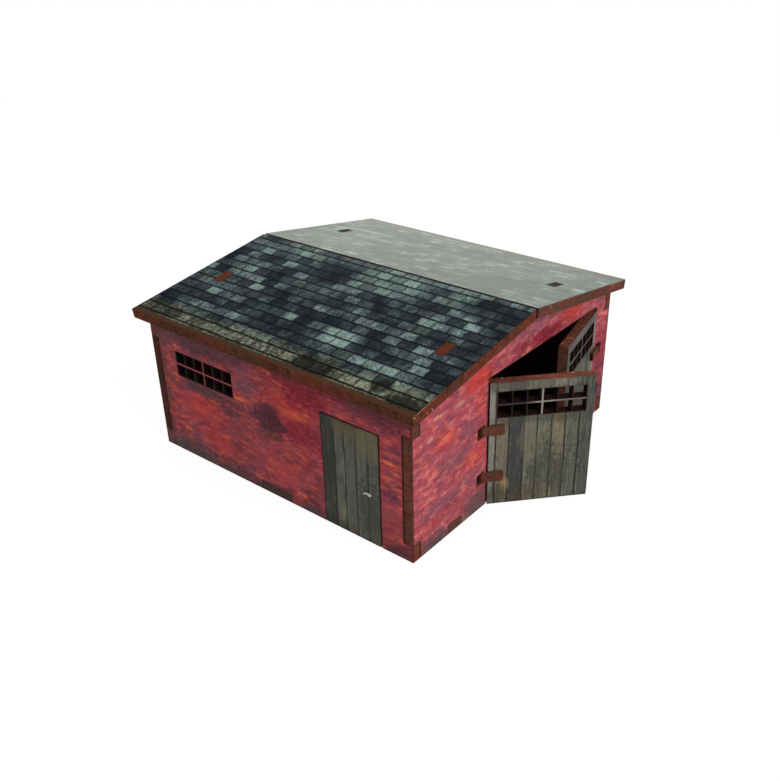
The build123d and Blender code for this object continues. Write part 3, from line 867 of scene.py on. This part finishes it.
def bare_finish(name, through, face, shaded_way=None, heel=None, tab_ends=None, foxed=False):
    """Bare board: felted faces and charred edges, blackened as painted shade where they face the
    shaded way.

    A hook's heel is its pivot and the way its leaf runs; behind the pivot, inside its slot, the
    hook is blackened as painted shade.
    Tab ends are two inks, for the tabs on the left slope and, greyed as painted glare, on the right
    one.
    Foxed edges are browned, and sooty on the left.
    """
    finish = Finish(name)
    edge_colour, edge_height = charred_edge(finish, through)
    if foxed:
        edge_colour = finish.lay(FOXED_SHARE, edge_colour, FOXED)
        shade_and_soot = finish.facing((-1.0, 0.0, 0.0)) * TAB_SOOT_SHARE
        edge_colour = finish.lay(shade_and_soot, edge_colour, SOOT_GREY)
    face_colour, face_height = raw_board(finish)
    flat = finish.either(finish.facing(face), finish.facing(tuple(-part for part in face)))
    colour = finish.lay(flat, edge_colour, face_colour)
    # painted shade on the faces that point the shaded way
    if shaded_way:
        colour = finish.lay(finish.facing(shaded_way) * 0.85, colour, CHAR_BLACK)
    # painted shade on the hook behind its pivot, inside its slot
    if heel:
        pivot, run = heel
        along = (finish.x - pivot[0]) * run[0] + (finish.y - pivot[1]) * run[1]
        colour = finish.lay(finish.band(along, 0.0, -1.2) * 0.8, colour, CHAR_BLACK)
    if tab_ends:
        end = finish.lay(finish.band(finish.x, -1.0, 1.0), *tab_ends)
        raised = finish.band(finish.z, TAB_END_HEIGHT, TAB_END_HEIGHT + 0.5)
        colour = finish.lay(raised * 0.85, colour, end)
    height = edge_height * (1 - flat) + face_height * flat * 0.5
    roughness = 0.95 - edge_height * 0.1
    return finish.close(colour, roughness, height, 0.06, Specular_IOR_Level=BARE_GLOSS)


HANDLE_PALE = ink(186, 186, 180)
HANDLE_DULL = ink(136, 136, 130)
HANDLE_GLOSS = 0.5


def handle_paint():
    """The handle's light grey paint."""
    finish = Finish("handle_grey")
    grain = finish.noise(finish.place, 6.0, 4.0, 0.7)
    colour = finish.lay(grain * 0.6, HANDLE_PALE, HANDLE_DULL)
    return finish.close(colour, 0.36 + grain * 0.2, grain, 0.01, Specular_IOR_Level=HANDLE_GLOSS)


def dress(name, material):
    """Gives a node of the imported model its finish."""
    for slot in nodes[name].material_slots:
        slot.material = material


def dress_boards():
    """A finish for every board, some boards sharing one."""
    left, right = (-1.0, 0.0, 0.0), (1.0, 0.0, 0.0)
    front, rear = (0.0, -1.0, 0.0), (0.0, 1.0, 0.0)
    walls = (
        ("left", "y", left, LONG_BASE, LEFT_PATCHES, LEFT_CUTS, LEFT_WINDOW),
        ("right", "y", right, LONG_BASE, RIGHT_PATCHES, RIGHT_CUTS),
        ("front", "x", front, GABLE_BASE, FRONT_PATCHES, FRONT_CUTS),
        ("rear", "x", rear, GABLE_BASE, REAR_PATCHES, REAR_CUTS),
    )
    for place, *details in walls:
        dress(f"{place}_wall", wall_finish(f"bricks_{place}", *details))
    slopes = (
        ("left", -1, LEFT_SLOPE_PATCHES, LEFT_GLARE, LEFT_SLOPE_GLOSS),
        ("right", 1, RIGHT_SLOPE_PATCHES, RIGHT_GLARE, RIGHT_SLOPE_GLOSS),
    )
    for place, *details in slopes:
        dress(f"roof_panel_{place}", roof_finish(f"slates_{place}", *details))
    above, upright = (0.0, 0.0, 1.0), (False, False, True)
    dress("floor_plate", bare_finish("board_floor", upright, above, foxed=True))
    leaves = (
        ("left", 1, LEFT_PIVOT, LEFT_ANGLE, LEAF_STAINS, LEFT_BARS),
        # the right leaf also carries painted shadow
        ("right", -1, RIGHT_PIVOT, RIGHT_ANGLE, LEAF_STAINS + RIGHT_LEAF_SHADOW, RIGHT_BARS),
    )
    for place, side, pivot, angle, stains, bars in leaves:
        run = (side * cos(angle), -sin(angle))
        outward = (-side * sin(angle), -cos(angle), 0.0)
        details = (LEAF_PLANKS, stains, LEAF_CUTS, LEAF_WINDOW, bars)
        planks = plank_finish(f"planks_{place}", pivot, run, outward, *details)
        dress(f"garage_door_{place}", planks)
        # the hooks get painted shade on the faces that point along the leaf, and behind the pivot
        hook = bare_finish(f"board_hook_{place}", upright, above, (*run, 0.0), (pivot, run))
        for level in ("upper", "lower"):
            dress(f"hinge_hook_{place}_{level}", hook)
    corner, forward = (-HALF_WIDTH, SIDE_DOOR_EDGE), (0.0, -1.0)
    planks = plank_finish("planks_door", corner, forward, left, DOOR_PLANKS, DOOR_STAINS)
    dress("side_door", planks)
    tabs = (LEFT_TAB_END, RIGHT_TAB_END_GLARE)
    former = bare_finish("board_former", (False, True, False), front, tab_ends=tabs)
    for place in ("front", "rear"):
        dress(f"roof_former_{place}", former)


dress_boards()


def place_mesh(name, shape, material):
    """Puts a finished shape into the scene, in one material."""
    mesh = bpy.data.meshes.new(name)
    shape.to_mesh(mesh)
    shape.free()
    mesh.materials.append(material)
    placed = bpy.data.objects.new(name, mesh)
    bpy.context.scene.collection.objects.link(placed)
    return placed


# The side door's handle, a bowed lever on a round foot


def make_handle():
    """Sweeps the lever along its bow and sets it on its foot."""
    shape = bmesh.new()
    foot_y, foot_z, face = -36.0, 15.55, -HALF_WIDTH
    steps, radius, stand_off = 16, 0.3, 0.42
    reach, bow, droop = 2.15, 0.45, 0.2
    boss_depth, boss_foot, boss_top = 0.5, 0.38, 0.33
    ring = bmesh.ops.create_circle(shape, segments=12, radius=radius)["verts"]
    bmesh.ops.rotate(shape, verts=ring, cent=(0, 0, 0), matrix=Matrix.Rotation(pi / 2, 3, "X"))
    bmesh.ops.translate(shape, verts=ring, vec=(face - stand_off, foot_y, foot_z))
    edges = list({edge for vert in ring for edge in vert.link_edges})
    shares = [step / steps for step in range(steps + 1)]
    heights = [bow * sin(pi * share) - droop * share for share in shares]
    for low, high in zip(heights, heights[1:]):
        made = bmesh.ops.extrude_edge_only(shape, edges=edges)["geom"]
        edges = [part for part in made if isinstance(part, bmesh.types.BMEdge)]
        verts = [part for part in made if isinstance(part, bmesh.types.BMVert)]
        bmesh.ops.translate(shape, verts=verts, vec=(0, reach / steps, high - low))
    bmesh.ops.holes_fill(shape, edges=shape.edges, sides=0)
    boss = bmesh.ops.create_cone(
        shape, cap_ends=True, segments=20, radius1=boss_foot, radius2=boss_top, depth=boss_depth
    )["verts"]
    turn = Matrix.Rotation(-pi / 2, 3, "Y")
    bmesh.ops.rotate(shape, verts=boss, cent=(0, 0, 0), matrix=turn)
    bmesh.ops.translate(shape, verts=boss, vec=(face - boss_depth / 2, foot_y, foot_z))
    bmesh.ops.recalc_face_normals(shape, faces=shape.faces)
    bmesh.ops.scale(shape, verts=shape.verts, vec=(MM, MM, MM))
    handle = place_mesh("door_handle", shape, handle_paint())
    for polygon in handle.data.polygons:
        polygon.use_smooth = True
    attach(handle, "side_leaf")
    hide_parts("side_door_handle")


make_handle()


# Nibs, the broken ends of the bridges that held the parts in their sheet

NIB_VERGE = -53.12             # middle of the nibs on the roof's front verge
LEAF_TOP = 39.2
VERGE_NIBS = (
    (-54.1, 46.1, (0.5, 0.2, 0.3)),
    (-49.2, 45.2, (0.5, 0.24, 0.3)),
    (-47.3, 45.4, (0.36, 0.24, 0.5)),
    (-47.0, 44.9, (0.4, 0.2, 0.24)),
    (6.8, 53.5, (0.6, 0.24, 0.36)),
    (45.2, 47.2, (0.4, 0.24, 0.7)),
)
LEFT_LEAF_NIBS = ((5.2, -1.5, (0.5, 0.5, 0.2)), (24.9, -1.4, (0.9, 0.4, 0.22)))
RIGHT_LEAF_NIBS = ((28.6, -1.5, (0.7, 0.4, 0.2)), (24.2, -0.4, (0.3, 2.2, 0.16)))


def nib_shape(places):
    """Small torn stubs, each given by its middle, its size and its turn about the vertical."""
    shape = bmesh.new()
    rounded = {"offset_type": "OFFSET", "segments": 2, "profile": 0.5, "affect": "EDGES"}
    for middle, size, turn in places:
        stub = bmesh.ops.create_cube(shape, size=1.0)["verts"]
        bmesh.ops.scale(shape, verts=stub, vec=size)
        edges = list({edge for vert in stub for edge in vert.link_edges})
        made = bmesh.ops.bevel(
            shape, geom=edges, offset=min(size) * 0.3, material=-1, **rounded
        )["verts"]
        faces = {face for vert in made for face in vert.link_faces}
        verts = list({vert for face in faces for vert in face.verts})
        bmesh.ops.rotate(shape, verts=verts, cent=(0, 0, 0), matrix=Matrix.Rotation(turn, 3, "Z"))
        bmesh.ops.translate(shape, verts=verts, vec=middle)
    bmesh.ops.scale(shape, verts=shape.verts, vec=(MM, MM, MM))
    return shape


TORN_BROWN = ink(172, 118, 84)
TORN_PALE = ink(222, 180, 140)


def nib_finish():
    """Torn board, paler than the charred edge round it."""
    finish = Finish("board_torn")
    grain = finish.noise(finish.place, 4.0, 4.0, 0.7)
    colour = finish.ramp(grain, (0.3, CHAR_RED), (0.5, TORN_BROWN), (0.68, TORN_PALE))
    return finish.close(colour, 0.9 + grain * 0.05, grain, 0.08, Specular_IOR_Level=BARE_GLOSS)


def leaf_nibs(pivot, side, angle, nibs):
    """Nibs on a leaf, given by how far along it from its pivot and out from its plane they are."""
    places = []
    for along, out, size in nibs:
        x = pivot[0] + side * cos(angle) * along - side * sin(angle) * out
        y = pivot[1] - sin(angle) * along - cos(angle) * out
        places.append(((x, y, LEAF_TOP), size, -side * angle))
    return places


def make_nibs():
    """Nibs on the roof's front verge and on the top edges of the garage leaves."""
    roof = [((x, NIB_VERGE, height), size, 0.0) for x, height, size in VERGE_NIBS]
    left = leaf_nibs(LEFT_PIVOT, 1, LEFT_ANGLE, LEFT_LEAF_NIBS)
    right = leaf_nibs(RIGHT_PIVOT, -1, RIGHT_ANGLE, RIGHT_LEAF_NIBS)
    torn = nib_finish()
    groups = (
        ("roof_nibs", roof, "roof"),
        ("leaf_nibs_left", left, "garage_leaf_left"),
        ("leaf_nibs_right", right, "garage_leaf_right"),
    )
    for name, places, body in groups:
        nibs = place_mesh(name, nib_shape(places), torn)
        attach(nibs, body)


make_nibs()


# Floor and light, in metres

WHITE = (1.0, 1.0, 1.0, 1.0)
FLOOR_GREY = (0.6, 0.6, 0.6, 1.0)
FLOOR_REACH = 6.0
FLOOR_DROP = -0.05 * MM        # just clear of the part's base
NEAR_GLOW, NEAR_SHARE = 1.2, 0.74   # near the part, with room for the shadow
FADE_START, FADE_END = 0.3, 0.7
SOFT_LIGHT = 0.3


def white_floor():
    """A plain pale floor that looks white and keeps the shadow."""
    sheet = bmesh.new()
    bmesh.ops.create_grid(sheet, x_segments=1, y_segments=1, size=FLOOR_REACH)
    bmesh.ops.translate(sheet, verts=sheet.verts, vec=(0.0, 0.0, FLOOR_DROP))
    material = bpy.data.materials.new("ground_white")
    material.use_nodes = True
    graph = Graph(material.node_tree)
    seen = seen_share(graph)
    diffuse = graph.node("ShaderNodeBsdfDiffuse", {}, {"Color": FLOOR_GREY})
    glow = graph.node("ShaderNodeEmission", {}, {"Color": WHITE, "Strength": NEAR_GLOW})
    near = graph.node("ShaderNodeMixShader", {}, {0: seen * NEAR_SHARE, 1: diffuse, 2: glow})
    plain = graph.node("ShaderNodeEmission", {}, {"Color": WHITE, "Strength": 1.0})
    far = graph.node("ShaderNodeMixShader", {}, {0: seen, 1: diffuse, 2: plain})
    place = graph.node("ShaderNodeTexCoord", result="Object")
    away = graph.node("ShaderNodeVectorMath", {"operation": "LENGTH"}, {0: place}, "Value")
    values = {"Value": away, "From Min": FADE_START, "From Max": FADE_END}
    both = graph.node("ShaderNodeMapRange", {"interpolation_type": "SMOOTHSTEP"}, values)
    shader = graph.node("ShaderNodeMixShader", {}, {0: both, 1: near, 2: far})
    graph.node("ShaderNodeOutputMaterial", {}, {"Surface": shader})
    ground = place_mesh("ground", sheet, material)


def seen_share(graph):
    """1 for rays from the camera and for what gloss and glass show, and 0 for lighting."""
    share = graph.node("ShaderNodeLightPath", result="Is Camera Ray")
    for ray in ("Is Glossy Ray", "Is Transmission Ray"):
        share = graph.maths("MAXIMUM", share, graph.node("ShaderNodeLightPath", result=ray))
    return share


def white_surround():
    """A world that looks white all round the horizon, is dimmer overhead and lights softly."""
    world = bpy.data.worlds.new("studio")
    world.use_nodes = True
    bpy.context.scene.world = world
    graph = Graph(world.node_tree)
    way = graph.node("ShaderNodeTexCoord", result="Generated")
    height = graph.node("ShaderNodeSeparateXYZ", {}, {0: way}, "Z")
    values = {"Value": height, "From Min": 0.38, "From Max": 0.6, "To Min": 1.0, "To Max": 0.2}
    strength = graph.node("ShaderNodeMapRange", {}, values)
    soft = graph.node("ShaderNodeBackground", {}, {"Color": WHITE, "Strength": SOFT_LIGHT})
    plain = graph.node("ShaderNodeBackground", {}, {"Color": WHITE, "Strength": strength})
    both = graph.node("ShaderNodeMixShader", {}, {0: seen_share(graph), 1: soft, 2: plain})
    graph.node("ShaderNodeOutputWorld", {}, {"Surface": both})


# Name, place, size, power and tint. The low back lamp, a little green, glances off the right slope.
LAMPS = (
    ("front_lamp", (-0.12, -0.85, 0.62), 0.5, 7.0, (1.0, 1.0, 1.0)),
    ("left_lamp", (-1.0, -0.1, 0.5), 0.6, 2.1, (1.0, 1.0, 1.0)),
    ("top_lamp", (0.0, 0.1, 1.1), 0.7, 3.6, (1.0, 1.0, 1.0)),
    ("back_lamp", (1.6, 1.07, 0.45), 1.12, 11.5, (0.94, 1.0, 0.88)),
)


def hang_lamps():
    """Soft square lamps, all aimed at the shed."""
    for name, place, size, power, tint in LAMPS:
        data = bpy.data.lights.new(name, "AREA")
        data.size = size
        data.energy = power
        data.color = tint
        lamp = bpy.data.objects.new(name, data)
        lamp.location = place
        aim = Vector((0.0, 0.0, 0.02)) - Vector(place)
        lamp.rotation_euler = aim.to_track_quat("-Z", "Y").to_euler()
        lamp.visible_camera = False
        bpy.context.scene.collection.objects.link(lamp)


white_floor()
white_surround()
hang_lamps()
bpy.context.scene.view_settings.view_transform = "Standard"
